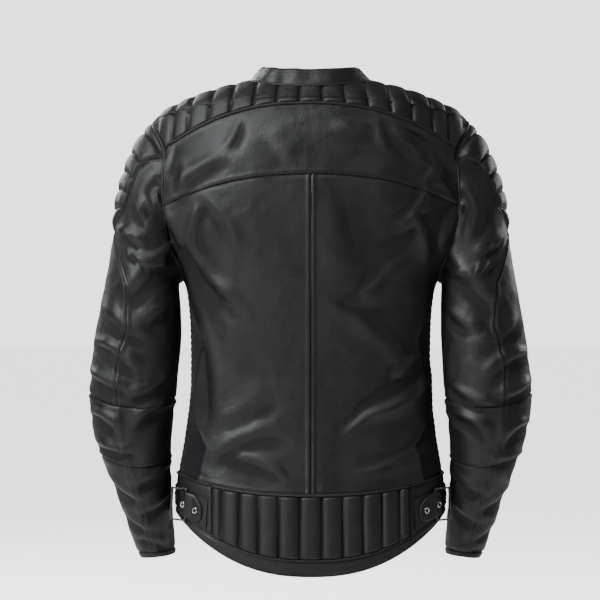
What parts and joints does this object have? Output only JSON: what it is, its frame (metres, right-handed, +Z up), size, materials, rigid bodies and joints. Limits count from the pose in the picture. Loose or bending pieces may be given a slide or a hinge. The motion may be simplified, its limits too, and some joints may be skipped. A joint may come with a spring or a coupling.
{
  "type": "leather riding jacket",
  "caption": "Fitted leather riding jacket with quilted shoulders and lower back, stretch side panels, waist straps in slide frames, and zips at the front, pockets and cuffs",
  "frame": {"origin": "centre of the neck opening, level with the collar seam at the centre back", "axes": "+Z up along the worn jacket, front towards -Y, the wearer's left towards +X"},
  "size_m": [0.622, 0.2449, 0.7075],
  "materials": {
    "leather": "satin",
    "stretch": "matt knit",
    "lining": "woven",
    "armour": "matt foam",
    "zip_tape": "woven",
    "metal": "dark nickel"
  },
  "bodies": {
    "jacket": {"yoke_quilted": "leather", "shoulder_front_quilted_left": "leather", "shoulder_front_quilted_right": "leather", "back_upper_panel": "leather", "back_lower_panel_left": "leather", "back_lower_panel_right": "leather", "front_panel_left": "leather", "front_panel_right": "leather", "kidney_panel_quilted": "leather", "waist_band_left": "leather", "waist_band_right": "leather", "hem_band": "leather", "collar": "leather", "sleeve_cap_quilted_left": "leather", "sleeve_cap_quilted_right": "leather", "sleeve_outer_left": "leather", "sleeve_outer_right": "leather", "sleeve_under_left": "leather", "sleeve_under_right": "leather", "elbow_panel_left": "leather", "elbow_panel_right": "leather", "forearm_panel_left": "leather", "forearm_panel_right": "leather", "cuff_band_left": "leather", "cuff_band_right": "leather", "adjuster_tab_left": "leather", "adjuster_tab_right": "leather", "adjuster_strap_left": "leather", "adjuster_strap_right": "leather", "hang_loop": "leather", "side_stretch_left": "stretch", "side_stretch_right": "stretch", "body_lining": "lining", "sleeve_lining_left": "lining", "sleeve_lining_right": "lining", "back_protector": "armour", "shoulder_protector_left": "armour", "shoulder_protector_right": "armour", "elbow_protector_left": "armour", "elbow_protector_right": "armour", "front_zip_tape_left": "zip_tape", "front_zip_tape_right": "zip_tape", "pocket_zip_tape_left": "zip_tape", "pocket_zip_tape_right": "zip_tape", "cuff_zip_tape_left": "zip_tape", "cuff_zip_tape_right": "zip_tape", "trouser_zip": "zip_tape"},
    "front_zip_slider": {"front_zip_slider": "metal"},
    "front_zip_pull": {"front_zip_pull": "metal"},
    "pocket_zip_slider_left": {"pocket_zip_slider_left": "metal"},
    "pocket_zip_slider_right": {"pocket_zip_slider_right": "metal"},
    "pocket_zip_pull_left": {"pocket_zip_pull_left": "metal"},
    "pocket_zip_pull_right": {"pocket_zip_pull_right": "metal"},
    "cuff_zip_slider_left": {"cuff_zip_slider_left": "metal"},
    "cuff_zip_slider_right": {"cuff_zip_slider_right": "metal"},
    "cuff_zip_pull_left": {"cuff_zip_pull_left": "metal"},
    "cuff_zip_pull_right": {"cuff_zip_pull_right": "metal"},
    "adjuster_frame_left": {"adjuster_frame_left": "metal"},
    "adjuster_frame_right": {"adjuster_frame_right": "metal"}
  },
  "joints": [
    {"name": "front_zip_slide", "type": "slide", "parent": "jacket", "child": "front_zip_slider", "axis": [0, 0.0659, 0.9978], "range_m": [-0.55, 0]},
    {"name": "front_pull_swing", "type": "hinge", "parent": "front_zip_slider", "child": "front_zip_pull", "pos_m": [0, -0.08907, -0.0256], "axis": [-1, 0, 0], "range_deg": [0, 150]},
    {"name": "pocket_zip_slide_left", "type": "slide", "parent": "jacket", "child": "pocket_zip_slider_left", "axis": [-0.1869, 0.0028, 0.9824], "range_m": [-0.155, 0]},
    {"name": "pocket_pull_swing_left", "type": "hinge", "parent": "pocket_zip_slider_left", "child": "pocket_zip_pull_left", "pos_m": [0.08704, -0.10721, -0.34148], "axis": [-0.9194, -0.3527, -0.1739], "range_deg": [0, 150]},
    {"name": "pocket_zip_slide_right", "type": "slide", "parent": "jacket", "child": "pocket_zip_slider_right", "axis": [0.1869, 0.0028, 0.9824], "range_m": [-0.155, 0]},
    {"name": "pocket_pull_swing_right", "type": "hinge", "parent": "pocket_zip_slider_right", "child": "pocket_zip_pull_right", "pos_m": [-0.08704, -0.10721, -0.34148], "axis": [-0.9194, 0.3527, 0.1739], "range_deg": [0, 150]},
    {"name": "cuff_zip_slide_left", "type": "slide", "parent": "jacket", "child": "cuff_zip_slider_left", "axis": [0.1106, 0.222, 0.9688], "range_m": [0, 0.058]},
    {"name": "cuff_pull_swing_left", "type": "hinge", "parent": "cuff_zip_slider_left", "child": "cuff_zip_pull_left", "pos_m": [0.20583, -0.07347, -0.63223], "axis": [-0.7267, 0.6831, -0.0735], "range_deg": [0, 150]},
    {"name": "cuff_zip_slide_right", "type": "slide", "parent": "jacket", "child": "cuff_zip_slider_right", "axis": [-0.1106, 0.222, 0.9688], "range_m": [0, 0.058]},
    {"name": "cuff_pull_swing_right", "type": "hinge", "parent": "cuff_zip_slider_right", "child": "cuff_zip_pull_right", "pos_m": [-0.20583, -0.07347, -0.63223], "axis": [-0.7267, -0.6831, 0.0735], "range_deg": [0, 150]},
    {"name": "adjuster_frame_lift_left", "type": "hinge", "parent": "jacket", "child": "adjuster_frame_left", "pos_m": [0.17365, 0.05837, -0.58114], "axis": [-0.0516, -0.017, 0.9985], "range_deg": [0, 30]},
    {"name": "adjuster_frame_lift_right", "type": "hinge", "parent": "jacket", "child": "adjuster_frame_right", "pos_m": [-0.17365, 0.05837, -0.58114], "axis": [-0.0516, 0.017, -0.9985], "range_deg": [0, 30]}
  ]
}
